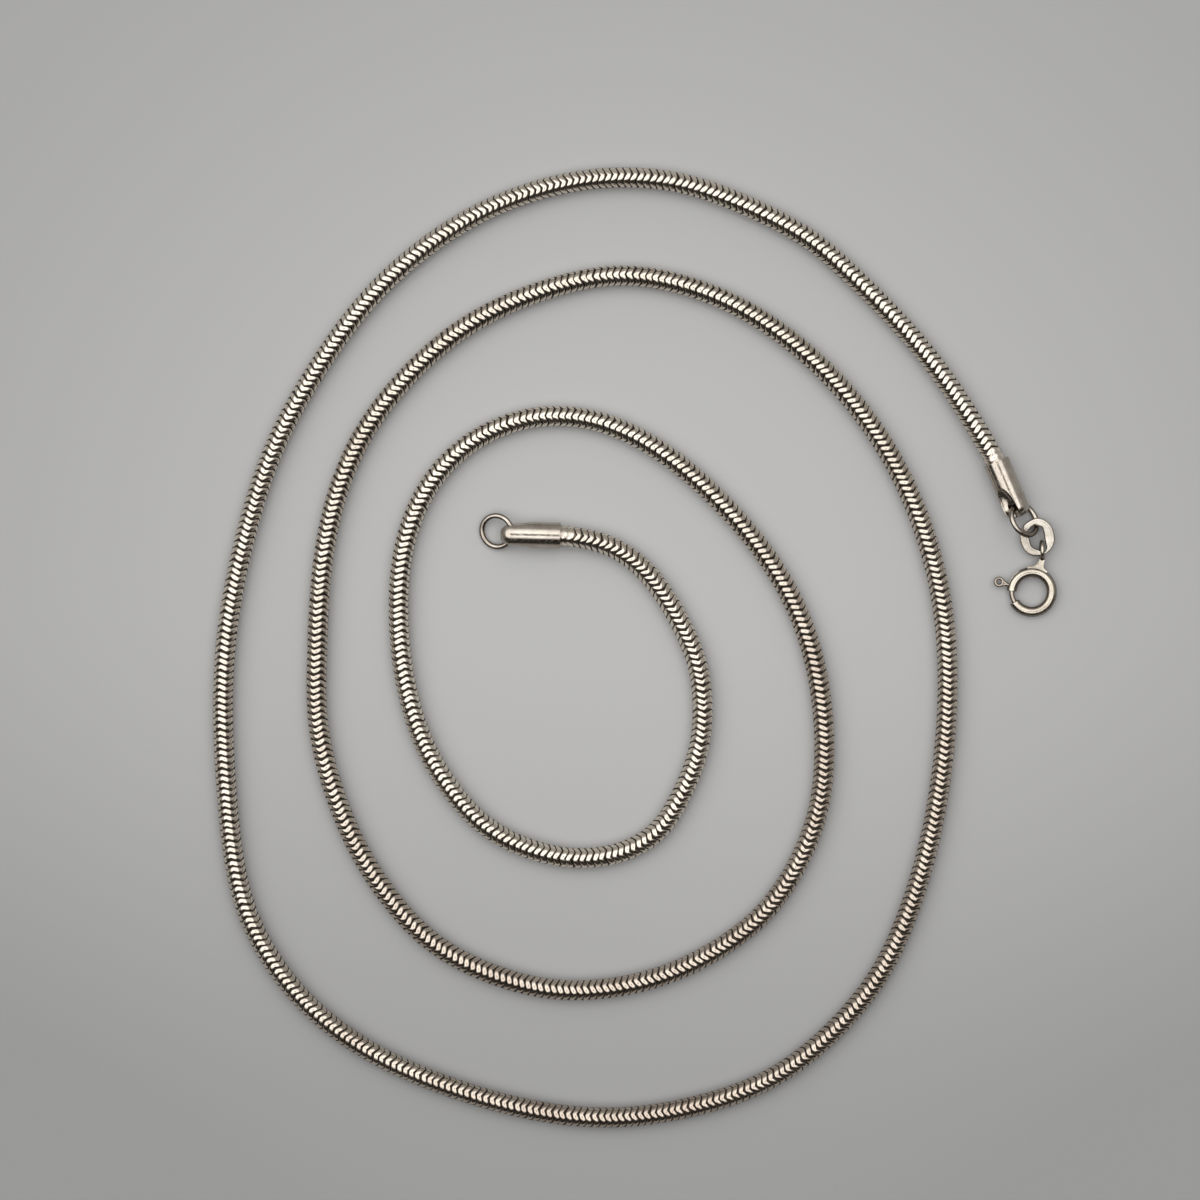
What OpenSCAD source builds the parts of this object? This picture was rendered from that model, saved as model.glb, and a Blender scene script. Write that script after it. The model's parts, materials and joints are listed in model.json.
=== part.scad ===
/* [Chain] */
// Diameter of the round snake chain, across its flats here
chain_d = 2.5; // [1.8:0.05:3]
// Length of the inner stretch, from the catch ring's cap to where the two stretches meet
inner_length = 370; // [340:5:400]

/* [End caps] */
// Room all round between the chain's corners and the bore of a cap
fit_gap = 0.05; // [0.03:0.01:0.12]
// Wall of a cap around its bore
cap_wall = 0.2; // [0.15:0.01:0.35]
// Depth of the bore that holds the chain
cap_bore_depth = 2.5; // [2:0.1:2.6]
// Length of chain that sits in the bore
chain_seat = 2.3; // [1.8:0.05:2.4]
// From the mouth of a cap to the middle of its cross hole
hole_reach = 5.8; // [5.6:0.05:6.2]
// Thickness of the flattened tongue
tongue_t = 1.1; // [0.9:0.05:1.3]
// Radius of the scoops that flatten the tongue
scoop_r = 3.9; // [3.5:0.1:4.5]
// Length of flat tongue before the middle of the hole
tongue_flat = 0.3; // [0:0.05:0.5]
// Diameter of the cross hole
hole_d = 1.2; // [1.15:0.01:1.3]
// Diameter of the hole at the face of the tongue
sink_d = 1.75; // [1.5:0.05:1.9]
// Depth of the countersinks
sink_depth = 0.2; // [0.1:0.02:0.3]
// Where the cap at the catch ring points, from +X
ring_cap_turn = 178.6; // [174:0.2:182]
// Roll of the cap at the catch ring, of its hole from upright
ring_cap_roll = 68; // [58:1:74]
// Where the cap at the clasp points, from +X
clasp_cap_turn = -66.7; // [-70:0.1:-63]
// Roll of the cap at the clasp, of its hole from upright
clasp_cap_roll = 40; // [36:1:44]

/* [Rings] */
// Wire of the catch ring and the link ring
ring_wire = 0.65; // [0.5:0.01:0.7]
// Outer diameter of the catch ring
catch_ring_d = 4.5; // [4.3:0.05:4.8]
// Outer diameter of the link ring
link_ring_d = 4.6; // [4.5:0.02:4.7]
// Least room between a ring's wire and the hole that holds it
loose_gap = 0.12; // [0.1:0.01:0.16]
// Room between a resting piece and the table
rest_gap = 0.01; // [0:0.005:0.02]
// Tilt of the link ring about its line from the hole
link_ring_tilt = 43; // [41:0.5:44]
// Swing of the link ring to the left of the line of its cap
link_ring_swing = 9; // [6:0.5:11]
// Swing of the catch ring to the left of the line of its cap
catch_ring_swing = -10; // [-11:0.5:-6]
// Roll of the catch ring about its line from the hole
catch_ring_roll = -16; // [-20:0.5:-12]

/* [Flat link] */
// Width of the flat link
flat_w = 4.3; // [4.2:0.02:4.4]
// Length of the flat link
flat_l = 4.66; // [4.6:0.02:4.76]
// Thickness of the flat link
flat_t = 0.5; // [0.4:0.02:0.54]
// From the middle of the link ring to the flat link, along the cap's line
flat_reach = 2.54; // [2.5:0.01:2.58]
// The same, across the cap's line
flat_side = 0.65; // [0.6:0.01:0.7]
// Height of the middle of the flat link over the table
flat_z = 1.25; // [1.22:0.01:1.28]
// Tilt of the flat link, with the side under the link ring's wire low
flat_tilt = 8; // [6:0.5:9]

/* [Spring ring clasp] */
// Outer diameter of the clasp's tube ring
clasp_d = 6.1; // [5.8:0.05:6.6]
// Diameter of the tube
clasp_tube_d = 1.25; // [1.2:0.01:1.35]
// Wall of the tube
clasp_wall = 0.2; // [0.16:0.01:0.22]
// Where the clasp's eye lies, seen from the middle of the clasp, from +X
clasp_turn = 76.8; // [74:0.2:80]
// Angle from the eye round to the start of the opening
gap_start = 100.2; // [96:0.2:104]
// Angle of the opening
gap_angle = 33; // [28:0.5:36]
// Outer diameter of the eye
eye_d = 2.5; // [2.46:0.01:2.6]
// Wire of the eye
eye_wire = 0.5; // [0.4:0.01:0.52]
// From the middle of the clasp to the middle of the eye
eye_reach = 5.25; // [5.1:0.02:5.4]
// Twist of the eye about its own middle, from the line of its neck
eye_twist = 15; // [5:1:20]
// Width of the eye's neck
neck_w = 0.7; // [0.6:0.02:0.8]
// Width of the soldered foot where it meets the tube
foot_w = 2.5; // [2:0.05:2.7]
// Thickness of the foot
foot_t = 0.7; // [0.6:0.02:0.8]
// From the middle of the flat link to the middle of the eye
eye_from_flat = 1.68; // [1.62:0.01:1.74]
// Direction of the eye, seen from the flat link, from +X
eye_bearing = -70; // [-74:0.2:-66]

/* [Clasp bolt] */
// Wire of the bolt inside the tube
bolt_wire = 0.6; // [0.5:0.01:0.64]
// Angle that the bolt reaches past the opening when shut
bolt_overlap = 4; // [2:0.5:6]
// Angle of bolt behind the thumb knob
bolt_tail = 11; // [9:0.5:14]
// Angle from the eye round to the thumb knob when shut
knob_turn = 86.2; // [84:0.2:88]
// Travel of the bolt, shut to open
bolt_travel = 37; // [33:0.5:39]
// Wire of the thumb knob
knob_wire = 0.4; // [0.34:0.01:0.44]
// Radius of the knob's loop, to the middle of its wire
knob_loop_r = 0.45; // [0.4:0.01:0.5]
// From the outside of the tube to the middle of the knob's loop
knob_out = 1.1; // [1.05:0.01:1.2]
// Room round the knob's neck in its slot
slide_gap = 0.06; // [0.05:0.01:0.08]

/* [Hidden] */
$fn = 64;

// The chain's route on the table, from the catch ring's cap to the clasp's cap
route = [
    [-9, 13.6], [-4.5, 13], [0, 10.5], [3.5, 6.5], [6.5, 1], [8, -4],
    [8, -12], [5, -19], [2.5, -22.5], [-2, -25], [-8.5, -25.5], [-15, -23.5],
    [-20, -20], [-25, -13], [-27.5, -5.5], [-28.5, 1], [-28.5, 9], [-27, 15.5],
    [-24, 21], [-19, 25.5], [-12, 28], [-4.5, 27.5], [2, 24.5], [8, 20],
    [15, 12.5], [20, 4], [22.5, -5], [23, -14.5], [21.5, -22.5], [17.5, -30],
    [12.5, -35], [4.5, -39.5], [-4.5, -41.5], [-13, -41], [-22, -37.5], [-28, -32.5],
    [-33, -25.5], [-36.5, -17.5], [-38.5, -9], [-38.5, -0.5], [-38, 9.5], [-36, 19],
    [-32, 27.5], [-25, 35.5], [-17, 41], [-7, 44.5], [1.5, 45], [11.5, 42],
    [20.5, 36], [28, 28], [33.5, 18.5], [37, 7.5], [38, -3], [37.5, -13.5],
    [35.5, -25], [31.5, -36.5], [26.5, -44], [19.5, -50.5], [11.5, -54.5], [0, -57],
    [-10.5, -56.5], [-20.5, -54], [-30.5, -50], [-38.5, -44.5], [-44, -38], [-48, -29.5],
    [-49.5, -17.5], [-50, -6], [-49, 5.5], [-46, 18], [-42, 28], [-35, 39],
    [-28, 46.5], [-18.5, 53], [-8, 56.5], [1, 57], [9, 55.5], [19, 51],
    [25, 46.5], [33.5, 38], [39.5, 30], [43.9, 22.6]
];
last = len(route) - 1;
// The chain rises from the table to its caps over this length
rise_length = 15;

// Angle between a flat and a corner of the eight-sided tube
flat_to_corner = 180 / 8;
chain_corner_d = chain_d / cos(flat_to_corner);
cap_bore_d = chain_corner_d + 2 * fit_gap;
cap_d = cap_bore_d + 2 * cap_wall;
cap_z = cap_d / 2;

// Direction on the table at an angle from +X, and the direction to its left
function along(turn) = [cos(turn), sin(turn), 0];
function across(turn) = [-sin(turn), cos(turn), 0];

ring_mouth = [route[0].x, route[0].y, cap_z];
clasp_mouth = [route[last].x, route[last].y, cap_z];
ring_hole = ring_mouth + hole_reach * along(ring_cap_turn);
clasp_hole = clasp_mouth + hole_reach * along(clasp_cap_turn);

// How far a ring's wire is pulled from the middle of the hole
pull = (hole_d - ring_wire) / 2 - loose_gap;
link_ring_r = (link_ring_d - ring_wire) / 2;
catch_ring_r = (catch_ring_d - ring_wire) / 2;

link_ring_turn = clasp_cap_turn + link_ring_swing;
link_ring_at = [clasp_hole.x, clasp_hole.y, ring_wire / 2 + link_ring_r * sin(link_ring_tilt) + rest_gap]
    + (pull * 0.7 + link_ring_r) * along(link_ring_turn);

// The catch ring hangs in its hole and rests its far side on the table: its tilt is found step by step
catch_ring_turn = ring_cap_turn + catch_ring_swing;
catch_hole_z = cap_z - pull * 0.2;
function slope(t) = sqrt(1 - pow(cos(t) * cos(catch_ring_roll), 2));
function settle(t, n) = n == 0 ? t
    : settle((t + asin(((catch_hole_z - ring_wire / 2 - rest_gap) / catch_ring_r - slope(t))
        / cos(catch_ring_roll))) / 2, n - 1);
catch_ring_tilt = settle(18, 12);
catch_ring_at = [ring_hole.x, ring_hole.y, ring_wire / 2 + rest_gap + catch_ring_r * slope(catch_ring_tilt)]
    + (pull * 0.9 + catch_ring_r * cos(catch_ring_tilt)) * along(catch_ring_turn);

flat_at = [link_ring_at.x, link_ring_at.y, flat_z]
    + flat_reach * along(clasp_cap_turn) + flat_side * across(clasp_cap_turn);

clasp_r = (clasp_d - clasp_tube_d) / 2;
clasp_bore_d = clasp_tube_d - 2 * clasp_wall;
eye_r = (eye_d - eye_wire) / 2;
eye_at = [flat_at.x, flat_at.y, eye_d / 2] + eye_from_flat * along(eye_bearing);
// The eye stands on the table, which tips the clasp's ring
clasp_tilt = asin((eye_d / 2 - clasp_tube_d / 2) / (eye_reach + clasp_r));
clasp_at = eye_at - eye_reach * cos(clasp_tilt) * along(clasp_turn)
    - [0, 0, eye_reach * sin(clasp_tilt)];

knob_reach = clasp_d / 2 + knob_out;
knob_neck = clasp_d / 2 + slide_gap + knob_wire / 4;
slot_side = knob_wire / 2 + slide_gap;
slot_angle = 2 * asin(slot_side / (clasp_d / 2 - clasp_wall));
fork = asin(knob_loop_r / (knob_reach - knob_neck));
fork_length = (knob_reach - knob_neck) * cos(fork);

// Outline and opening of the flat link, as shares of half its width and length
flat_pairs = [
    [[1, 0], [0.41, -0.03]], [[0.93, 0.32], [0.37, 0.22]], [[0.8, 0.57], [0.29, 0.47]],
    [[0.58, 0.8], [0.16, 0.54]], [[0.33, 0.94], [0.02, 0.58]], [[0.05, 1], [-0.14, 0.61]],
    [[-0.22, 0.95], [-0.28, 0.54]], [[-0.48, 0.83], [-0.4, 0.44]], [[-0.72, 0.66], [-0.5, 0.31]],
    [[-0.89, 0.42], [-0.53, 0.18]], [[-0.98, 0.14], [-0.48, 0.03]], [[-0.97, -0.12], [-0.42, -0.12]],
    [[-0.9, -0.38], [-0.38, -0.3]], [[-0.76, -0.65], [-0.3, -0.47]], [[-0.54, -0.87], [-0.16, -0.58]],
    [[-0.27, -0.98], [0.02, -0.64]], [[0.02, -1], [0.18, -0.69]], [[0.29, -0.97], [0.34, -0.74]],
    [[0.56, -0.84], [0.48, -0.68]], [[0.8, -0.63], [0.49, -0.5]], [[0.96, -0.33], [0.45, -0.27]]
];
// Section of its band: shares of the width, from the opening out, and of half the thickness
flat_section = [
    [0, -0.35], [0, 0.35], [0.1, 0.85], [0.3, 1], [0.7, 1], [0.9, 0.85],
    [1, 0.35], [1, -0.35], [0.9, -0.85], [0.7, -1], [0.3, -1], [0.1, -0.85]
];
flat_steps = 3;

// Length of the route up to a point, counted from its first point
function run(i) = i == 0 ? 0 : norm(route[i] - route[i - 1]) + run(i - 1);
route_length = run(last);
// The two stretches meet at the first point past the inner stretch's length
function point_past(s, i = 0) = i == last || run(i) >= s ? i : point_past(s, i + 1);
meet = point_past(inner_length);
// Height of the chain's middle at a length along the route
function ease(x) = x <= 0 ? 0 : x >= 1 ? 1 : x * x * (3 - 2 * x);
function rise(s) = ease(1 - min(s, route_length - s) / rise_length);
function chain_z(s) = chain_d / 2 + (cap_z - chain_d / 2) * rise(s);
// The route with its heights and with the ends that sit in the caps
path = concat(
    [ring_mouth + chain_seat * along(ring_cap_turn)],
    [for (i = [0:last]) [route[i].x, route[i].y, chain_z(run(i))]],
    [clasp_mouth + chain_seat * along(clasp_cap_turn)]
);
function unit(v) = v / norm(v);
function heading(i) =
    i == 0 ? unit(path[1] - path[0])
    : i == last + 2 ? unit(path[i] - path[i - 1])
    : unit(unit(path[i] - path[i - 1]) + unit(path[i + 1] - path[i]));

// Tube from one path point to another, with eight sides and flats below, above and beside
module tube(first, end) {
    rings = [
        for (i = [first:end])
            let (h = heading(i), side = unit(cross([0, 0, 1], h)), up = cross(h, side))
                [for (k = [0:7])
                    let (a = flat_to_corner + k * 360 / 8)
                        path[i] + chain_corner_d / 2 * (cos(a) * side + sin(a) * up)]
    ];
    n = end - first;
    polyhedron(
        points = [for (r = rings) for (p = r) p],
        faces = concat(
            [[for (k = [0:7]) k]],
            [for (i = [0:n - 1]) for (k = [0:7])
                [i * 8 + k, (i + 1) * 8 + k, (i + 1) * 8 + (k + 1) % 8, i * 8 + (k + 1) % 8]],
            [[for (k = [7:-1:0]) n * 8 + k]]
        )
    );
}

module chain_outer() {
    color([0.86, 0.83, 0.78]) tube(meet + 1, last + 2);
}

module chain_inner() {
    color([0.84, 0.8, 0.76]) tube(0, meet + 1);
}

// Cap along +X from its mouth, with the cross hole along Z
module end_cap() {
    difference() {
        union() {
            rotate([0, 90, 0]) cylinder(h = hole_reach, d = cap_d);
            translate([hole_reach, 0, 0]) sphere(d = cap_d);
        }
        translate([-1, 0, 0]) rotate([0, 90, 0]) cylinder(h = cap_bore_depth + 1, d = cap_bore_d);
        for (side = [0, 180]) {
            rotate([side, 0, 0]) {
                translate([hole_reach - tongue_flat, 0, tongue_t / 2 + scoop_r])
                    rotate([90, 0, 0]) cylinder(h = 2 * cap_d, r = scoop_r, center = true);
                translate([hole_reach - tongue_flat, -cap_d, tongue_t / 2])
                    cube([2 * cap_d, 2 * cap_d, cap_d]);
                translate([hole_reach, 0, tongue_t / 2 - sink_depth])
                    cylinder(h = sink_depth + 0.01, d1 = hole_d, d2 = sink_d);
            }
        }
        translate([hole_reach, 0, 0]) cylinder(h = 2 * cap_d, d = hole_d, center = true);
    }
}

module clasp_end_cap() {
    color([0.9, 0.88, 0.84])
        translate(clasp_mouth) rotate([0, 0, clasp_cap_turn]) rotate([clasp_cap_roll, 0, 0]) end_cap();
}

module ring_end_cap() {
    color([0.88, 0.85, 0.8])
        translate(ring_mouth) rotate([0, 0, ring_cap_turn]) rotate([ring_cap_roll, 0, 0]) end_cap();
}

module wire_ring(r, wire) {
    rotate_extrude() translate([r, 0]) circle(d = wire);
}

module catch_ring() {
    color([0.88, 0.85, 0.8])
        translate(catch_ring_at) rotate([0, 0, catch_ring_turn]) rotate([catch_ring_roll, 0, 0])
            rotate([0, catch_ring_tilt, 0]) wire_ring(catch_ring_r, ring_wire);
}

module link_ring() {
    color([0.9, 0.87, 0.82])
        translate(link_ring_at) rotate([0, 0, link_ring_turn]) rotate([-link_ring_tilt, 0, 0])
            wire_ring(link_ring_r, ring_wire);
}

// Smooth closed curve through the pairs, between point i and the next
function pair(i, side) = flat_pairs[(i + len(flat_pairs)) % len(flat_pairs)][side];
function curve(i, side, f) =
    let (a = pair(i - 1, side), b = pair(i, side), c = pair(i + 1, side), d = pair(i + 2, side))
        b + f * (c - a) / 2 + f * f * (2 * a - 5 * b + 4 * c - d) / 2
        + f * f * f * (3 * b - a - 3 * c + d) / 2;

module flat_link() {
    half = [flat_w / 2, flat_l / 2];
    stations = [
        for (i = [0:len(flat_pairs) - 1]) for (k = [0:flat_steps - 1])
            let (out = curve(i, 0, k / flat_steps), in = curve(i, 1, k / flat_steps))
                [for (s = flat_section)
                    let (p = in + s.x * (out - in))
                        [p.x * half.x, p.y * half.y, s.y * flat_t / 2]]
    ];
    n = len(stations);
    m = len(flat_section);
    color([0.93, 0.91, 0.86]) translate(flat_at) rotate(flat_tilt, along(link_ring_turn))
        polyhedron(
            points = [for (s = stations) for (p = s) p],
            faces = [for (i = [0:n - 1]) for (k = [0:m - 1])
                [i * m + k, (i + 1) % n * m + k, (i + 1) % n * m + (k + 1) % m, i * m + (k + 1) % m]]
        );
}

// Clasp's own frame: the eye lies towards +Y
module at_clasp() {
    translate(clasp_at) rotate([0, 0, clasp_turn - 90]) rotate([clasp_tilt, 0, 0]) children();
}

function arc(at, r, from, to, n) =
    [for (i = [0:n]) let (a = from + (to - from) * i / n) at + r * [cos(a), sin(a)]];

// Soldered foot: it flares from the eye's neck down to the tube
module foot() {
    seat = eye_r + (neck_w - eye_wire) / 2;
    neck = [seat * sin(eye_twist), eye_reach - seat * cos(eye_twist)];
    rim_y = clasp_d / 2 - clasp_wall / 2;
    left = (foot_w - neck_w) / 2 + neck.x;
    right = (foot_w - neck_w) / 2 - neck.x;
    translate([0, 0, -foot_t / 2])
        linear_extrude(foot_t)
            polygon(concat(
                [[-foot_w / 2, clasp_r], [foot_w / 2, clasp_r]],
                arc([foot_w / 2, rim_y + right], right, 270, 180, 8),
                arc(neck, neck_w / 2, 0, 180, 12),
                arc([-foot_w / 2, rim_y + left], left, 0, -90, 8)
            ));
}

module clasp_ring() {
    color([0.9, 0.86, 0.8]) at_clasp()
        difference() {
            union() {
                wire_ring(clasp_r, clasp_tube_d);
                foot();
                translate([0, eye_reach, 0]) rotate([0, 0, eye_twist]) rotate([0, 90, 0])
                    wire_ring(eye_r, eye_wire);
            }
            wire_ring(clasp_r, clasp_bore_d);
            rotate([0, 0, 90 + gap_start])
                rotate_extrude(angle = gap_angle)
                    translate([clasp_r - clasp_tube_d, -clasp_tube_d]) square(2 * clasp_tube_d);
            rotate([0, 0, 90 + knob_turn - bolt_travel - slot_angle / 2])
                rotate_extrude(angle = bolt_travel + slot_angle)
                    translate([clasp_r, -slot_side]) square([clasp_tube_d, 2 * slot_side]);
        }
}

module clasp_bolt() {
    tip = gap_start + gap_angle + bolt_overlap;
    tail = knob_turn - bolt_tail;
    color([0.8, 0.77, 0.72]) at_clasp()
        union() {
            rotate([0, 0, 90 + tail])
                rotate_extrude(angle = tip - tail) translate([clasp_r, 0]) circle(d = bolt_wire);
            rotate([0, 0, 90 + knob_turn]) {
                translate([clasp_r, 0, 0]) rotate([0, 90, 0])
                    cylinder(h = knob_neck - clasp_r, d = knob_wire);
                translate([knob_neck, 0, 0]) sphere(d = knob_wire * 1.15);
                for (side = [-1, 1])
                    translate([knob_neck, 0, 0]) rotate([0, 0, side * fork]) rotate([0, 90, 0])
                        cylinder(h = fork_length, d = knob_wire * 0.86);
                translate([knob_reach, 0, 0]) wire_ring(knob_loop_r, knob_wire);
            }
        }
}

chain_outer();
chain_inner();
clasp_end_cap();
ring_end_cap();
catch_ring();
link_ring();
flat_link();
clasp_ring();
clasp_bolt();
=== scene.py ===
import json
import math
import random

import bpy
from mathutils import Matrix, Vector

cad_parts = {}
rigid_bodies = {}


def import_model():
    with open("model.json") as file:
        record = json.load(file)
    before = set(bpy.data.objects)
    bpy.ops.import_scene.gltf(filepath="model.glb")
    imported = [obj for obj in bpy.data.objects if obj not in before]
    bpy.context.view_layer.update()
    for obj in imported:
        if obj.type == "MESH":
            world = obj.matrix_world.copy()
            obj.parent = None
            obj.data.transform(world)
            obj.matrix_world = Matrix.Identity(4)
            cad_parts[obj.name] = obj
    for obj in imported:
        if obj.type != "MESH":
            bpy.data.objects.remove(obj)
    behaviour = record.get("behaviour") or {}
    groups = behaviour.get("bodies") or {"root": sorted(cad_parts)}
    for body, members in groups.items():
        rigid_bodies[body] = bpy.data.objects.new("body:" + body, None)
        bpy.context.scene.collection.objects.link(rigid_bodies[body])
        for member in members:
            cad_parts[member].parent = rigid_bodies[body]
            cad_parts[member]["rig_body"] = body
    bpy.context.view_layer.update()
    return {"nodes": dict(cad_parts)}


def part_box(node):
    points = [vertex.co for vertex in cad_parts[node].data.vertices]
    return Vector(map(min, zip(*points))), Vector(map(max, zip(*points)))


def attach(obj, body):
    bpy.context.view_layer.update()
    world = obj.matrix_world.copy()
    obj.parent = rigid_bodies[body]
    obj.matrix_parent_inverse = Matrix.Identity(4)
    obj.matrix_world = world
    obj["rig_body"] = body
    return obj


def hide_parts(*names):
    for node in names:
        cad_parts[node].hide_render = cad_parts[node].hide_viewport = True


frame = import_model()
nodes = frame["nodes"]

# Pieces are modelled in millimetres, as the CAD is, and brought to metres when they are finished
millimetre = 0.001


# Shader building

class Socket:  # a node's output, with the maths that adds Math nodes
    def __init__(self, recipe, output):
        self.recipe = recipe
        self.output = output

    def join(self, operation, *others):
        return self.recipe.add("Math", {"operation": operation}, dict(enumerate((self, *others))))

    def joinFrom(self, operation, other):
        return self.recipe.add("Math", {"operation": operation}, {0: other, 1: self})

    def __add__(self, other):
        return self.join("ADD", other)

    def __radd__(self, other):
        return self.joinFrom("ADD", other)

    def __sub__(self, other):
        return self.join("SUBTRACT", other)

    def __rsub__(self, other):
        return self.joinFrom("SUBTRACT", other)

    def __mul__(self, other):
        return self.join("MULTIPLY", other)

    def __rmul__(self, other):
        return self.joinFrom("MULTIPLY", other)

    def __truediv__(self, other):
        return self.join("DIVIDE", other)

    def __pow__(self, other):
        return self.join("POWER", other)

    def over(self, low, high):  # 0 below low, 1 above high, smooth between
        return self.recipe.add(
            "MapRange",
            {"interpolation_type": "SMOOTHSTEP"},
            {"Value": self, "From Min": low, "From Max": high},
        )


class Recipe:  # the nodes of one material or of the world
    def __init__(self, owner):
        owner.use_nodes = True
        self.tree = owner.node_tree
        self.tree.nodes.clear()

    def add(self, kind, settings=None, values=None, out=0):
        node = self.tree.nodes.new("ShaderNode" + kind)
        for name, value in (settings or {}).items():
            if name == "stops":
                self.setStops(node.color_ramp, value)
            else:
                setattr(node, name, value)
        for name, value in (values or {}).items():
            if isinstance(value, Socket):
                self.tree.links.new(value.output, node.inputs[name])
            else:
                node.inputs[name].default_value = value
        return Socket(self, node.outputs[out]) if node.outputs else node

    def setStops(self, ramp, stops):
        while len(ramp.elements) < len(stops):
            ramp.elements.new(1.0)
        for element, (place, shade) in zip(ramp.elements, stops):
            element.position = place
            element.color = (shade, shade, shade, 1.0)

    def blend(self, factor, first, second):
        values = {0: factor, 6: opaque(first), 7: opaque(second)}
        return self.add("Mix", {"data_type": "RGBA"}, values, out=2)

    def split(self, vector):
        node = self.add("SeparateXYZ", None, {0: vector}).output.node
        return [Socket(self, output) for output in node.outputs]

    def place(self):
        return self.add("TexCoord", out="Object")

    def noise(self, place, size, detail=2.0, roughness=0.5):  # size is in millimetres
        scale = 1 / (size * millimetre)
        values = {"Vector": place, "Scale": scale, "Detail": detail, "Roughness": roughness}
        return self.add("TexNoise", None, values)

    def scratches(self, place, turn, length, width):  # length and width are in millimetres
        stretch = (1 / (length * millimetre), 1 / (width * millimetre), 1 / (width * millimetre))
        turned = self.add("Mapping", {"vector_type": "TEXTURE"}, {0: place, "Rotation": turn})
        drawn = self.add("VectorMath", {"operation": "MULTIPLY"}, {0: turned, 1: stretch})
        return self.add("TexNoise", None, {"Vector": drawn, "Scale": 1.0, "Detail": 1.0})


def opaque(value):
    return (*value, 1.0) if isinstance(value, tuple) else value


# Camera, light and table

view = {
    "frameWidth": 145.8,  # mm of table across the photograph
    "middle": (-4.204, 5.783),  # the photograph's centre on the table, mm
    "focalHeight": 1.25,  # the height at which the frame width is measured, mm
    "lens": 150.0,
    "sensor": 36.0,
    "clip": (0.01, 20.0),  # metres
}


def addCamera():
    data = bpy.data.cameras.new("camera")
    data.lens = view["lens"]
    data.sensor_width = view["sensor"]
    data.clip_start, data.clip_end = view["clip"]
    camera = bpy.data.objects.new("camera", data)
    distance = view["frameWidth"] * view["lens"] / view["sensor"]
    x, y = view["middle"]
    camera.location = Vector((x, y, view["focalHeight"] + distance)) * millimetre
    bpy.context.scene.collection.objects.link(camera)
    bpy.context.scene.camera = camera
    print("camera", round(distance), "mm over the table")


# Directions are given as tangents of the angle from upright, towards +X and +Y
room = {
    "panel": (1.73, 1.71, 1.665),  # the bright soft panel above and behind the necklace
    "panelX": (-1.7, 0.85),
    "panelY": (-0.65, 1.4),
    "panelSoft": (0.68, 1.18),
    "panelFade": (0.35, 1.35),  # it is dimmer towards its far side
    "panelFar": 0.38,
    "lensHole": 0.15,  # the dark hole in the panel that the lens looks through
    "lensHoleAt": (0.0, 0.0),
    "lensHoleSoft": (0.7, 1.3),  # shares of its size over which its edge fades
    "walls": (0.385, 0.37, 0.348),
    "dark": (0.035, 0.031, 0.027),  # the room's dark side, low towards -Y
    "darkSide": (-0.35, 0.0),
    "darkAbove": (0.03, 0.18),  # upward parts of the directions between which the dark begins
    "leastUp": 0.02,  # keeps the tangents finite near the horizon
}


def addRoom():
    world = bpy.data.worlds.new("room")
    bpy.context.scene.world = world
    r = Recipe(world)
    x, y, z = r.split(r.add("TexCoord"))
    up = z.join("MAXIMUM", room["leastUp"])
    across = x / up
    along = y / up
    offset = []
    for value, (low, high) in ((across, room["panelX"]), (along, room["panelY"])):
        offset.append((value - (low + high) / 2) / ((high - low) / 2))
    spread = (offset[0] ** 4 + offset[1] ** 4) ** 0.25  # a rectangle with rounded corners
    panel = 1 - spread.over(*room["panelSoft"])
    holeX, holeY = room["lensHoleAt"]
    hole = ((across - holeX) ** 2 + (along - holeY) ** 2) ** 0.5
    panel = panel * hole.over(*(room["lensHole"] * share for share in room["lensHoleSoft"]))
    lit = 1 - (1 - y.over(*room["darkSide"])) * z.over(*room["darkAbove"])
    walls = r.blend(lit, room["dark"], room["walls"])
    far = tuple(value * room["panelFar"] for value in room["panel"])
    glow = r.blend(along.over(*room["panelFade"]), room["panel"], far)
    shade = r.blend(panel, walls, glow)
    light = r.add("Background", None, {"Color": shade, "Strength": 1.0})
    r.add("OutputWorld", None, {"Surface": light})
    print("room lit")


table = {
    "size": 3000.0,
    "tint": (0.575, 0.58, 0.585),
    "paintedShadeTint": (0.355, 0.36, 0.365),
    "pool": (10.0, 120.0),  # radii over which the light pool fades, mm
    "poolMiddle": (-1.5, 6.0),
    "poolShare": 0.65,
    "near": (-10.0, 60.0),  # distances towards -Y over which painted shade darkens the table, mm
    "nearShare": 0.5,
    "roughness": 0.8,
}


def addTable():
    bpy.ops.mesh.primitive_plane_add(size=table["size"] * millimetre)
    floor = bpy.context.object
    floor.name = "table"
    material = bpy.data.materials.new("pale_table")
    r = Recipe(material)
    x, y = (v * millimetre for v in table["poolMiddle"])
    fromMiddle = r.add("VectorMath", {"operation": "SUBTRACT"}, {0: r.place(), 1: (x, y, 0.0)})
    distance = r.add("VectorMath", {"operation": "LENGTH"}, {0: fromMiddle}, out="Value")
    # Painted light and shade: the table is lighter in a pool round the middle and darker towards -Y
    fade = distance.over(*(v * millimetre for v in table["pool"])) * table["poolShare"]
    down = r.split(r.place())[1] * -1
    fade = fade + down.over(*(v * millimetre for v in table["near"])) * table["nearShare"]
    tint = r.blend(fade, table["tint"], table["paintedShadeTint"])
    surface = r.add("BsdfPrincipled", None, {"Base Color": tint, "Roughness": table["roughness"]})
    r.add("OutputMaterial", None, {"Surface": surface})
    floor.data.materials.append(material)
    print("table laid")


# Modelling helpers

closeBy = 0.001  # places nearer than this count as one, mm
closeTurn = 0.01  # and so do directions nearer than this, radians


def makeActive(piece):
    if bpy.context.mode != "OBJECT":
        bpy.ops.object.mode_set(mode="OBJECT")
    bpy.ops.object.select_all(action="DESELECT")
    piece.select_set(True)
    bpy.context.view_layer.objects.active = piece


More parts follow.
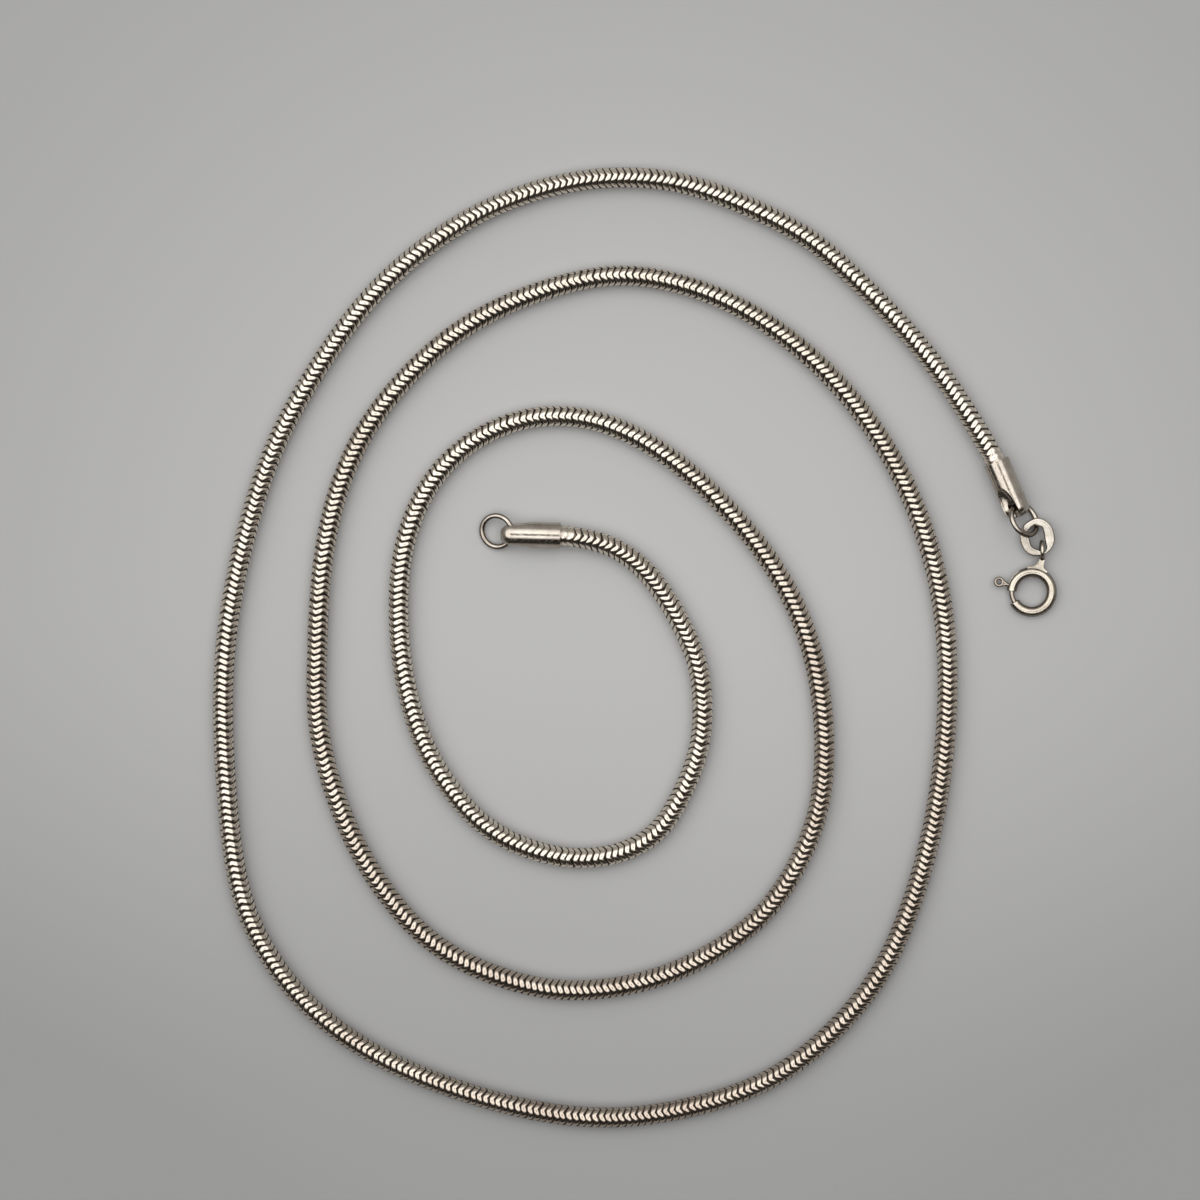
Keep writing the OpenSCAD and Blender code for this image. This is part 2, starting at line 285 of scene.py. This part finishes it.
def startEdit(piece):
    makeActive(piece)
    bpy.ops.object.mode_set(mode="EDIT")
    bpy.ops.mesh.select_mode(type="VERT")
    bpy.ops.mesh.select_all(action="DESELECT")


def endEdit():
    bpy.ops.object.mode_set(mode="OBJECT")


def selectPoints(piece, test):  # inside edit mode: selects the points whose place passes the test
    bpy.ops.object.mode_set(mode="OBJECT")
    picked = [test(vertex.co) for vertex in piece.data.vertices]
    piece.data.vertices.foreach_set("select", picked)
    for parts in (piece.data.edges, piece.data.polygons):
        parts.foreach_set("select", [all(picked[i] for i in part.vertices) for part in parts])
    bpy.ops.object.mode_set(mode="EDIT")


def applyModifier(piece, kind, **settings):
    makeActive(piece)
    modifier = piece.modifiers.new(kind.lower(), kind)
    for name, value in settings.items():
        setattr(modifier, name, value)
    bpy.ops.object.modifier_apply(modifier=modifier.name)


def scaleAndApply(piece, factor):
    makeActive(piece)
    piece.scale = (factor,) * 3
    bpy.ops.object.transform_apply(location=True, rotation=True, scale=True)


def shadeSmooth(piece):
    makeActive(piece)
    bpy.ops.object.shade_smooth()


# The chain's centreline

line = {
    # Points on the table from the catch ring's cap to the clasp's cap, mm, as the CAD has them
    "route": [
        (-9, 13.6), (-4.5, 13), (0, 10.5), (3.5, 6.5), (6.5, 1), (8, -4),
        (8, -12), (5, -19), (2.5, -22.5), (-2, -25), (-8.5, -25.5), (-15, -23.5),
        (-20, -20), (-25, -13), (-27.5, -5.5), (-28.5, 1), (-28.5, 9), (-27, 15.5),
        (-24, 21), (-19, 25.5), (-12, 28), (-4.5, 27.5), (2, 24.5), (8, 20),
        (15, 12.5), (20, 4), (22.5, -5), (23, -14.5), (21.5, -22.5), (17.5, -30),
        (12.5, -35), (4.5, -39.5), (-4.5, -41.5), (-13, -41), (-22, -37.5), (-28, -32.5),
        (-33, -25.5), (-36.5, -17.5), (-38.5, -9), (-38.5, -0.5), (-38, 9.5), (-36, 19),
        (-32, 27.5), (-25, 35.5), (-17, 41), (-7, 44.5), (1.5, 45), (11.5, 42),
        (20.5, 36), (28, 28), (33.5, 18.5), (37, 7.5), (38, -3), (37.5, -13.5),
        (35.5, -25), (31.5, -36.5), (26.5, -44), (19.5, -50.5), (11.5, -54.5), (0, -57),
        (-10.5, -56.5), (-20.5, -54), (-30.5, -50), (-38.5, -44.5), (-44, -38), (-48, -29.5),
        (-49.5, -17.5), (-50, -6), (-49, 5.5), (-46, 18), (-42, 28), (-35, 39),
        (-28, 46.5), (-18.5, 53), (-8, 56.5), (1, 57), (9, 55.5), (19, 51),
        (25, 46.5), (33.5, 38), (39.5, 30), (43.9, 22.6),
    ],
    "meet": 47,  # number of the point where the two stretches meet
    "capHeight": 1.603,  # the middle of the caps over the table
    "rise": 15.0,  # length over which the chain climbs to a cap
    "seat": 2.3,  # length of chain inside a cap
    "innerBearing": 178.6,  # where the catch ring's cap points, from +X
    "outerBearing": -66.7,  # where the clasp's cap points
    # Roll of the links about the chain, degrees, at lengths in mm, chosen one by one
    "roll": [
        (0, -15), (30, -10), (60, -10), (95, 15), (130, 45), (180, 70), (210, 100),
        (235, 115), (295, 120), (345, 120), (360, 130), (395, 160), (425, 170), (470, 170),
        (505, 200), (550, 175), (590, 160), (630, 120), (670, 75), (715, 30),
    ],
}

link = {
    "radius": 1.25,
    "sides": 16,
    "pitch": 0.793,
    "width": 0.64,
    "grooveDepth": 0.35,
    "edgeRound": 0.07,  # the bands' edges are rounded off over this width and depth
    "edgeDrop": 0.055,
    "waves": 4,
    "frontWave": 0.175,  # height of the waves on the edge that leads
    "backWave": 0.24,
    "grooveWave": 0.18,
    "gapPinch": 0.02,  # the gap opens at the waves' tips and closes on their flanks
    "solderLength": 1.3,
    "solderSwell": 1.02,
    "tiltJitter": 0.02,
    "slideJitter": 0.008,
    "rollJitter": 1.5,
    "seed": 11,
    "bandFrom": 0.95,  # a point past this share of the radius is on a band, not in a groove
    "merge": 0.002,
    "mapReach": 0.2,  # half of the band's and its groove's width on the map
}


def ease(x):
    x = min(max(x, 0.0), 1.0)
    return x * x * (3 - 2 * x)


def between(pairs, x):  # straight-line reading of a short table
    for (x0, y0), (x1, y1) in zip(pairs, pairs[1:]):
        if x <= x1:
            return y0 + (y1 - y0) * (x - x0) / (x1 - x0)
    return pairs[-1][1]


def bearing(degrees):
    return Vector((math.cos(math.radians(degrees)), math.sin(math.radians(degrees)), 0.0))


def makeCentreline():
    flat = [Vector((x, y, 0.0)) for x, y in line["route"]]
    lengths = [0.0]
    for a, b in zip(flat, flat[1:]):
        lengths.append(lengths[-1] + (b - a).length)
    whole = lengths[-1]
    points = []
    for place, s in zip(flat, lengths):
        rise = ease(1 - min(s, whole - s) / line["rise"])
        height = link["radius"] + (line["capHeight"] - link["radius"]) * rise
        points.append(place + Vector((0, 0, height)))
    points.insert(0, points[0] + bearing(line["innerBearing"]) * line["seat"])
    points.append(points[-1] + bearing(line["outerBearing"]) * line["seat"])
    stations = [-line["seat"], *lengths, whole + line["seat"]]
    # Control points that bring the smooth curve back through the chosen ones
    controls = [points[0]]
    for a, b, c in zip(points, points[1:], points[2:]):
        controls.append(b - (a - 2 * b + c) / 6)
    controls.append(points[-1])
    data = bpy.data.curves.new("centreline", "CURVE")
    data.dimensions = "3D"
    data.twist_mode = "Z_UP"
    data.use_path = True
    spline = data.splines.new("NURBS")
    spline.points.add(len(controls) - 1)
    for point, control, s in zip(spline.points, controls, stations):
        point.co = (*control, 1.0)
        point.tilt = math.radians(between(line["roll"], s))
    spline.order_u = 4
    spline.use_endpoint_u = True
    spline.resolution_u = 12
    curve = bpy.data.objects.new("centreline", data)
    bpy.context.scene.collection.objects.link(curve)
    length = spline.calc_length()
    meetLength = length * (lengths[line["meet"]] + line["seat"]) / (whole + 2 * line["seat"])
    return curve, length, meetLength


# The chain's links

def onColumn(co, row, angle):
    turn = (math.atan2(co.z, co.y) - angle + math.pi) % math.tau - math.pi
    return abs(turn) < closeTurn and abs(co.x - row) < closeBy


def inGroove(co):
    return math.hypot(co.y, co.z) < link["radius"] * link["bandFrom"]


def makeLink():
    half = link["width"] / 2
    gap = (link["pitch"] - link["width"]) / 2
    flat = half - link["edgeRound"]
    bpy.ops.mesh.primitive_cylinder_add(
        vertices=link["sides"],
        radius=link["radius"],
        depth=2 * flat,
        end_fill_type="NOTHING",
        rotation=(0, math.radians(90), 0),
    )
    piece = bpy.context.object
    bpy.ops.object.transform_apply(location=False, rotation=True, scale=False)
    startEdit(piece)
    # The band's rounded edges and the walls of the groove on either side of it
    edgeRadius = link["radius"] - link["edgeDrop"]
    edgeShare = edgeRadius / link["radius"]
    floorShare = (link["radius"] - link["grooveDepth"]) / edgeRadius
    for side in (-1, 1):
        selectPoints(piece, lambda co: abs(co.x - side * flat) < closeBy)
        for reach, share in ((half - flat, edgeShare), (gap, floorShare)):
            bpy.ops.mesh.extrude_region_move(TRANSFORM_OT_translate={"value": (side * reach, 0, 0)})
            bpy.ops.transform.resize(value=(1, share, share), center_override=(0, 0, 0))
    # A map of the band while it is straight: across it and round it
    endEdit()
    mapLink(piece, half + gap)
    startEdit(piece)
    # The waves of the band, one column of points at a time
    rows = {
        -half - gap: (link["grooveWave"], 0.0),
        -half: (link["backWave"], link["gapPinch"]),
        -flat: (link["backWave"], link["gapPinch"]),
        flat: (link["frontWave"], -link["gapPinch"]),
        half: (link["frontWave"], -link["gapPinch"]),
        half + gap: (link["grooveWave"], 0.0),
    }
    step = math.tau / link["sides"]
    for row, (height, pinch) in rows.items():
        for k in range(link["sides"]):
            wave = math.cos(link["waves"] * k * step)
            shift = height * wave + pinch * (2 * wave * wave - 1)
            selectPoints(piece, lambda co: onColumn(co, row, k * step))
            bpy.ops.transform.translate(value=(shift, 0, 0))
    endEdit()
    return piece


def mapLink(piece, reach):
    bandMap = piece.data.uv_layers[0]
    bandMap.name = "links"
    for face in piece.data.polygons:
        middle = math.atan2(face.center.z, face.center.y)
        for corner in face.loop_indices:
            co = piece.data.vertices[piece.data.loops[corner].vertex_index].co
            turn = (math.atan2(co.z, co.y) - middle + math.pi) % math.tau - math.pi
            across = 0.5 + link["mapReach"] * co.x / reach
            bandMap.data[corner].uv = (across, (middle + turn) / math.tau)


def makeChain(whole):
    count = round(whole / link["pitch"])
    pitch = whole / count
    chain = makeLink()
    makeActive(chain)
    chain.scale = (pitch / link["pitch"], 1, 1)
    chain.location = (pitch / 2, 0, 0)
    bpy.ops.object.transform_apply(location=True, rotation=True, scale=True)
    applyModifier(
        chain,
        "ARRAY",
        count=count,
        use_relative_offset=False,
        use_constant_offset=True,
        constant_offset_displace=(pitch, 0, 0),
        use_merge_vertices=True,
        merge_threshold=link["merge"],
        offset_u=1.0,
    )
    return chain, count, pitch


def loosenLinks(chain, count, pitch):  # each link sits a little out of true
    chance = random.Random(link["seed"])
    moves = []
    for i in range(count):
        slide = chance.gauss(0, link["slideJitter"])
        tilts = (chance.gauss(0, link["tiltJitter"]), chance.gauss(0, link["tiltJitter"]))
        turn = math.radians(chance.gauss(0, link["rollJitter"]))
        moves.append((slide, tilts, math.cos(turn), math.sin(turn)))
    mesh = chain.data
    corners = mesh.uv_layers["links"].data
    done = set()
    for corner, loop in zip(corners, mesh.loops):
        co = mesh.vertices[loop.vertex_index].co
        if loop.vertex_index in done or inGroove(co):
            continue
        done.add(loop.vertex_index)
        slide, tilts, c, s = moves[min(int(corner.uv.x), count - 1)]
        x, y, z = co
        moved = x + slide + tilts[0] * y + tilts[1] * z
        mesh.vertices[loop.vertex_index].co = (moved, y * c - z * s, y * s + z * c)


def solderEnds(chain, whole):  # solder fills the last grooves before the caps
    reach = line["seat"] + link["solderLength"]
    floorRadius = link["radius"] - link["grooveDepth"]
    fill = link["radius"] * link["solderSwell"] / floorRadius
    startEdit(chain)
    selectPoints(chain, lambda co: isSoldered(co, reach, whole))
    bpy.ops.transform.resize(value=(1, fill, fill), center_override=(0, 0, 0))
    endEdit()


def isSoldered(co, reach, whole):
    return inGroove(co) and (co.x < reach or co.x > whole - reach)


def splitChain(chain, meetLink):
    startEdit(chain)  # with nothing selected
    endEdit()
    corners = chain.data.uv_layers["links"].data
    picked = [corners[face.loop_start].uv.x >= meetLink for face in chain.data.polygons]
    chain.data.polygons.foreach_set("select", picked)
    bpy.ops.object.mode_set(mode="EDIT")
    bpy.ops.mesh.select_mode(type="FACE")
    bpy.ops.mesh.separate(type="SELECTED")
    endEdit()
    outer = [o for o in bpy.context.selected_objects if o != chain][0]
    for piece in (chain, outer):  # both ends of each stretch are closed
        startEdit(piece)
        bpy.ops.mesh.select_non_manifold(extend=False, use_wire=False, use_multi_face=False)
        bpy.ops.mesh.edge_face_add()
        endEdit()
    return chain, outer


def makeChains():
    curve, whole, meetLength = makeCentreline()
    chain, count, pitch = makeChain(whole)
    loosenLinks(chain, count, pitch)
    solderEnds(chain, whole)
    inner, outer = splitChain(chain, round(meetLength / pitch))
    for piece, node in ((inner, "chain_inner"), (outer, "chain_outer")):
        applyModifier(piece, "CURVE", object=curve, deform_axis="POS_X")
        scaleAndApply(piece, millimetre)
        shadeSmooth(piece)
        applyModifier(piece, "WEIGHTED_NORMAL", weight=54, keep_sharp=False)
        piece.name = node.replace("chain", "snake_chain")
        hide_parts(node)
        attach(piece, "necklace")
        print(piece.name, len(piece.data.polygons), "faces")
    bpy.data.objects.remove(curve)
    print("links", count, "pitch", round(pitch, 4), "length", round(whole, 1))
    return inner, outer, count


# The two end caps

cap = {
    "radius": 1.603,
    "length": 7.3,
    "sides": 64,
    "boreRadius": 1.403,
    "boreDepth": 2.5,
    "boreStart": -1.0,  # the bore's cutter starts outside the mouth
    "tipRound": 1.25,
    "tipSteps": 10,
    "holeReach": 5.8,  # from the mouth to the middle of the cross hole
    "holeRadius": 0.57,
    "drill": 3.0,  # how far the hole's cutter reaches to either side
    "dimple": (3.1, 1.15, 1.2),  # radii of the hollows pressed in around the hole
    "dimpleMiddle": 6.4,
    "dimpleFloor": 0.5,  # height of their floor over the cap's axis
    "voxel": 0.05,
    "passes": 30,  # of smoothing
    "crisp": 0.06,  # how much of the smoothing the mouth gets
    "softFrom": 2.6,  # the smoothing grows from here on, from the mouth
    "softOver": 0.8,
}
capPlaces = {
    "end_cap_clasp": {
        "node": "clasp_end_cap",
        "mouth": (43.9, 22.6),
        "bearing": "outerBearing",
        "roll": 40,
    },
    "end_cap_ring": {
        "node": "ring_end_cap",
        "mouth": (-9, 13.6),
        "bearing": "innerBearing",
        "roll": 82,
    },
}


def cutAway(piece, cutter):
    applyModifier(piece, "BOOLEAN", operation="DIFFERENCE", solver="EXACT", object=cutter)
    bpy.data.objects.remove(cutter)


def addRod(radius, start, end, along):  # a cylinder between two places on the X or the Z axis
    turn = (0, math.radians(90), 0) if along == "x" else (0, 0, 0)
    bpy.ops.mesh.primitive_cylinder_add(
        vertices=cap["sides"],
        radius=radius,
        depth=end - start,
        rotation=turn,
    )
    rod = bpy.context.object
    middle = (start + end) / 2
    rod.location = (middle, 0, 0) if along == "x" else (cap["holeReach"], 0, middle)
    bpy.ops.object.transform_apply(location=True, rotation=True, scale=False)
    return rod


def makeCap(name, place):
    bpy.ops.object.select_all(action="DESELECT")
    length = cap["length"]
    piece = addRod(cap["radius"], 0, length, "x")
    piece.name = name
    startEdit(piece)
    selectPoints(piece, lambda co: co.x > length - closeBy)
    bpy.ops.mesh.bevel(offset=cap["tipRound"], segments=cap["tipSteps"], profile=0.5)
    endEdit()
    for side in (-1, 1):
        height = cap["dimpleFloor"] + cap["dimple"][2]
        bpy.ops.mesh.primitive_uv_sphere_add(
            segments=cap["sides"],
            ring_count=cap["sides"] // 2,
            location=(cap["dimpleMiddle"], 0, side * height),
            scale=cap["dimple"],
        )
        cutAway(piece, bpy.context.object)
    cutAway(piece, addRod(cap["holeRadius"], -cap["drill"], cap["drill"], "z"))
    cutAway(piece, addRod(cap["boreRadius"], cap["boreStart"], cap["boreDepth"], "x"))
    applyModifier(piece, "REMESH", mode="VOXEL", voxel_size=cap["voxel"])
    # The pressed end is blended, the mouth stays crisp
    soft = piece.vertex_groups.new(name="soft")
    for vertex in piece.data.vertices:
        share = ease((vertex.co.x - cap["softFrom"]) / cap["softOver"])
        soft.add([vertex.index], cap["crisp"] + (1 - cap["crisp"]) * share, "REPLACE")
    applyModifier(piece, "SMOOTH", factor=0.5, iterations=cap["passes"], vertex_group="soft")
    piece.vertex_groups.clear()
    makeActive(piece)
    piece.rotation_euler = (math.radians(place["roll"]), 0, math.radians(line[place["bearing"]]))
    piece.location = (*place["mouth"], line["capHeight"])
    bpy.ops.object.transform_apply(location=True, rotation=True, scale=False)
    scaleAndApply(piece, millimetre)
    shadeSmooth(piece)
    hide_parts(place["node"])
    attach(piece, "necklace")
    print(name, len(piece.data.polygons), "faces")
    return piece


# The flat link and the clasp, softened from the CAD's own solids

fittings = {
    "flat_oval_link": {
        "node": "flat_link",
        "slot": "flat_link",
        "finish": "flat_link_silver",
        "voxel": 0.03,
        "passes": 2,
    },
    "clasp_tube": {
        "node": "clasp_ring",
        "slot": "clasp",
        "finish": "clasp_silver",
        "voxel": 0.045,
        "passes": 7,
    },
    "clasp_bolt_wire": {
        "node": "clasp_bolt",
        "slot": "bolt",
        "finish": "bolt_silver",
        "voxel": 0.03,
        "passes": 6,
    },
}


def softenNode(name, fitting):
    node = nodes[fitting["node"]]
    piece = bpy.data.objects.new(name, node.data.copy())
    piece.data.materials.clear()
    bpy.context.scene.collection.objects.link(piece)
    scaleAndApply(piece, 1 / millimetre)
    startEdit(piece)
    bpy.ops.mesh.select_all(action="SELECT")
    bpy.ops.mesh.remove_doubles(threshold=closeBy / 2)
    endEdit()
    applyModifier(piece, "REMESH", mode="VOXEL", voxel_size=fitting["voxel"])
    applyModifier(piece, "SMOOTH", factor=0.5, iterations=fitting["passes"])
    scaleAndApply(piece, millimetre)
    shadeSmooth(piece)
    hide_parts(fitting["node"])
    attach(piece, node["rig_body"])
    print(name, len(piece.data.polygons), "faces")
    return piece


# The catch ring and the link ring

ringWire = {
    "radius": 0.325,
    "sides": 24,
    "steps": 96,  # round the ring
    "seamAt": 60,  # degrees round the ring
    "seamPinch": (0.985, 0.985, 0.93),
}
rings = {
    "catch_ring_wire": {
        "node": "catch_ring",
        "middle": 1.925,  # radius of the wire's middle
        "leans": "y",
        "roll": -16,
        "bearing": 168.6,
    },
    "link_ring_wire": {
        "node": "link_ring",
        "middle": 1.975,
        "leans": "x",
        "roll": 0,
        "bearing": -57.7,
    },
}


def makeRing(name, ring):
    low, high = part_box(ring["node"])
    bpy.ops.object.select_all(action="DESELECT")
    bpy.ops.mesh.primitive_torus_add(
        major_segments=ringWire["steps"],
        minor_segments=ringWire["sides"],
        major_radius=ring["middle"],
        minor_radius=ringWire["radius"],
    )
    piece = bpy.context.object
    piece.name = name
    # The closed joint: a faint pinch in the wire, away from the hole
    startEdit(piece)
    seam = math.radians(ringWire["seamAt"])
    selectPoints(piece, lambda co: abs(math.atan2(co.y, co.x) - seam) < closeTurn)
    at = (ring["middle"] * math.cos(seam), ring["middle"] * math.sin(seam), 0)
    bpy.ops.transform.resize(value=ringWire["seamPinch"], center_override=at)
    endEdit()
    makeActive(piece)
    # How far the ring leans follows from its roll and from the height of its node
    rise = (high.z - low.z) / 2 / millimetre - ringWire["radius"]
    tilt = math.asin(min(rise / ring["middle"], 1.0))
    lean = math.acos(min(math.cos(tilt) / math.cos(math.radians(ring["roll"])), 1.0))
    piece.rotation_euler = (-lean, 0, 0) if ring["leans"] == "x" else (0, lean, 0)
    bpy.ops.object.transform_apply(location=False, rotation=True, scale=False)
    piece.rotation_euler = (math.radians(ring["roll"]), 0, math.radians(ring["bearing"]))
    piece.location = (low + high) / 2 / millimetre
    bpy.ops.object.transform_apply(location=True, rotation=True, scale=False)
    scaleAndApply(piece, millimetre)
    shadeSmooth(piece)
    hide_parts(ring["node"])
    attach(piece, nodes[ring["node"]]["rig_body"])
    print(name, len(piece.data.polygons), "faces")
    return piece


# Silver

chainSilver = {
    "bright": (0.78, 0.715, 0.625),
    "tarnish": (0.46, 0.38, 0.32),
    "paintedSideShade": (0.30, 0.25, 0.205),
    "gapDirtAndShade": (0.08, 0.065, 0.053),
    "roughness": (0.08, 0.19),
    "edge": (0.84, 0.98),  # shares of half the band's width over which the dirt and painted shade of the gaps begin
    "edgeRoughness": 0.3,
    "looseFrom": (-0.1, 0.3),  # the dirt and painted shade of the gaps begin over this stretch past the solder, mm
    "solderedEdge": 0.2,
    "side": (0.1, 0.6),  # upward parts of the surface's normal over which the painted side shade ends
    "sideShadeShare": 0.4,
    "patch": 14.0,  # mm
    "patchShare": 0.7,
    "luckShare": 0.25,  # how far single links differ
    "alongShare": 0.7,
    "rub": 0.5,  # mm
    # How dark the chain is along its length, from the catch ring to the clasp: tarnish, and painted
    # shade on the turns near the bottom of the table
    "tarnishAndShadeAlong": [
        (0.0, 0.2), (0.1, 0.1), (0.18, 0.0), (0.25, 0.8), (0.35, 0.9), (0.42, 0.4),
        (0.5, 0.3), (0.58, 0.5), (0.65, 1.0), (0.7, 1.0), (0.76, 0.2), (0.85, 0.0), (1.0, 0.0),
    ],
}


def makeChainSilver(count):
    material = bpy.data.materials.new("chain_silver")
    r = Recipe(material)
    along = r.split(r.add("UVMap", {"uv_map": "links"}))[0]
    number = along.join("FLOOR")
    across = (along - number - 0.5).join("ABSOLUTE") * (0.5 / link["mapReach"])
    band = 0.5 * link["width"] / link["pitch"]  # what across reads at the band's edge
    luck = r.add("TexWhiteNoise", {"noise_dimensions": "1D"}, {"W": number}, out="Value")
    place = r.place()
    patches = r.noise(place, chainSilver["patch"], 3.0)
    # Tarnish along the chain, with painted shade darkening the turns near the bottom of the table
    ramp = r.add("ValToRGB", {"stops": chainSilver["tarnishAndShadeAlong"]}, {0: number / count})
    tarnish = ramp * chainSilver["alongShare"] + (patches - 0.5) * chainSilver["patchShare"]
    tarnish = tarnish + (luck - 0.5) * chainSilver["luckShare"]
    tarnish = tarnish.join("MAXIMUM", 0.0).join("MINIMUM", 1.0)
    fromEnd = along.join("MINIMUM", count - along) * link["pitch"]
    solder = line["seat"] + link["solderLength"]
    loose = fromEnd.over(*(solder + shift for shift in chainSilver["looseFrom"]))
    soldered = chainSilver["solderedEdge"]
    edge = across.over(*(band * share for share in chainSilver["edge"]))
    edge = edge * (loose * (1 - soldered) + soldered)
    tint = r.blend(tarnish, chainSilver["bright"], chainSilver["tarnish"])
    # Painted shade: the sides of the links, whose normals turn away from up, are darkened
    side = 1 - r.split(r.add("TexCoord", out="Normal"))[2].over(*chainSilver["side"])
    tint = r.blend(side * chainSilver["sideShadeShare"], tint, chainSilver["paintedSideShade"])
    # Painted shade of the gaps between links, together with dirt in them, darkens the bands' edges
    tint = r.blend(edge, tint, chainSilver["gapDirtAndShade"])
    low, high = chainSilver["roughness"]
    rub = r.noise(place, chainSilver["rub"])
    surface = r.add(
        "BsdfPrincipled",
        None,
        {
            "Base Color": tint,
            "Metallic": 1.0,
            "Roughness": low + rub * (high - low) + edge * chainSilver["edgeRoughness"],
        },
    )
    r.add("OutputMaterial", None, {"Surface": surface})
    print(material.name)
    return material


polishedSilver = {  # the last setting is how much painted shade darkens the sides of each piece
    "cap_silver": {
        "bright": (0.66, 0.61, 0.545),
        "tarnish": (0.47, 0.41, 0.36),
        "roughness": (0.06, 0.13),
        "paintedSideShade": 0.35,
    },
    "ring_silver": {
        "bright": (0.62, 0.57, 0.51),
        "tarnish": (0.38, 0.32, 0.275),
        "roughness": (0.08, 0.15),
        "paintedSideShade": 0.92,
    },
    "flat_link_silver": {
        "bright": (0.64, 0.60, 0.54),
        "tarnish": (0.34, 0.30, 0.26),
        "roughness": (0.14, 0.28),
        "paintedSideShade": 0.6,
    },
    "clasp_silver": {
        "bright": (0.66, 0.605, 0.52),
        "tarnish": (0.44, 0.38, 0.315),
        "roughness": (0.07, 0.17),
        "paintedSideShade": 0.85,
    },
    "bolt_silver": {
        "bright": (0.50, 0.44, 0.38),
        "tarnish": (0.30, 0.25, 0.21),
        "roughness": (0.08, 0.2),
        "paintedSideShade": 0.95,
    },
}
wear = {  # sizes and depths are in millimetres
    "crevice": (0.06, 0.048, 0.038),
    "creviceAt": (0.40, 0.495),  # pointiness over which a hollow counts as a crevice
    "creviceShare": 0.9,
    "creviceRoughness": 0.25,
    "paintedSideShade": (0.12, 0.095, 0.075),
    "side": (0.58, 0.98),
    "patch": 3.0,
    "patchEdge": (0.35, 0.7),
    "patchShare": 0.8,
    "smudge": 0.8,
    "scratches": [  # turn, length and width, and the noise over which they show
        {"drawn": ((0.3, 0.5, 0.7), 2.5, 0.09), "shows": (0.62, 0.72)},
        {"drawn": ((1.2, 0.2, 2.1), 1.8, 0.11), "shows": (0.64, 0.74)},
    ],
    "scratchDepth": 0.02,
    "scratchStrength": 0.35,
    "scratchRoughness": 0.08,
    "dent": 0.9,
    "dentDepth": 0.02,
    "dentStrength": 0.5,
}


def makePolishedSilver(name, finish):
    material = bpy.data.materials.new(name)
    r = Recipe(material)
    place = r.place()
    patches = r.noise(place, wear["patch"], 4.0, 0.6).over(*wear["patchEdge"])
    sharpness = r.add("NewGeometry", out="Pointiness")
    crevice = 1 - sharpness.over(*wear["creviceAt"])
    tint = r.blend(patches * wear["patchShare"], finish["bright"], finish["tarnish"])
    # Painted shade: the sides of each piece, whose normals turn away from up, are darkened
    side = 1 - r.split(r.add("TexCoord", out="Normal"))[2].over(*wear["side"])
    tint = r.blend(side * finish["paintedSideShade"], tint, wear["paintedSideShade"])
    tint = r.blend(crevice * wear["creviceShare"], tint, wear["crevice"])
    low, high = finish["roughness"]
    smudge = r.noise(place, wear["smudge"], 3.0)
    lines, others = [r.scratches(place, *s["drawn"]).over(*s["shows"]) for s in wear["scratches"]]
    scored = lines + others
    dents = r.noise(place, wear["dent"])
    scratched = r.add(
        "Bump",
        {"invert": True},
        {
            "Strength": wear["scratchStrength"],
            "Distance": wear["scratchDepth"] * millimetre,
            "Height": scored,
        },
    )
    bumped = r.add(
        "Bump",
        None,
        {
            "Strength": wear["dentStrength"],
            "Distance": wear["dentDepth"] * millimetre,
            "Height": dents,
            "Normal": scratched,
        },
    )
    worn = crevice * wear["creviceRoughness"] + scored * wear["scratchRoughness"]
    surface = r.add(
        "BsdfPrincipled",
        None,
        {
            "Base Color": tint,
            "Metallic": 1.0,
            "Roughness": low + smudge * (high - low) + worn,
            "Normal": bumped,
        },
    )
    r.add("OutputMaterial", None, {"Surface": surface})
    print(name)
    return material


def build():
    inner, outer, count = makeChains()
    chainMaterial = makeChainSilver(count)
    for piece in (inner, outer):
        piece.data.materials.clear()
        piece.data.materials.append(chainMaterial)
    finishes = {name: makePolishedSilver(name, finish) for name, finish in polishedSilver.items()}
    for name, place in capPlaces.items():
        makeCap(name, place).data.materials.append(finishes["cap_silver"])
    for name, fitting in fittings.items():
        softenNode(name, fitting).data.materials.append(finishes[fitting["finish"]])
    for name, ring in rings.items():
        makeRing(name, ring).data.materials.append(finishes["ring_silver"])


addCamera()
build()
addRoom()
addTable()
bpy.context.scene.view_settings.view_transform = "Standard"
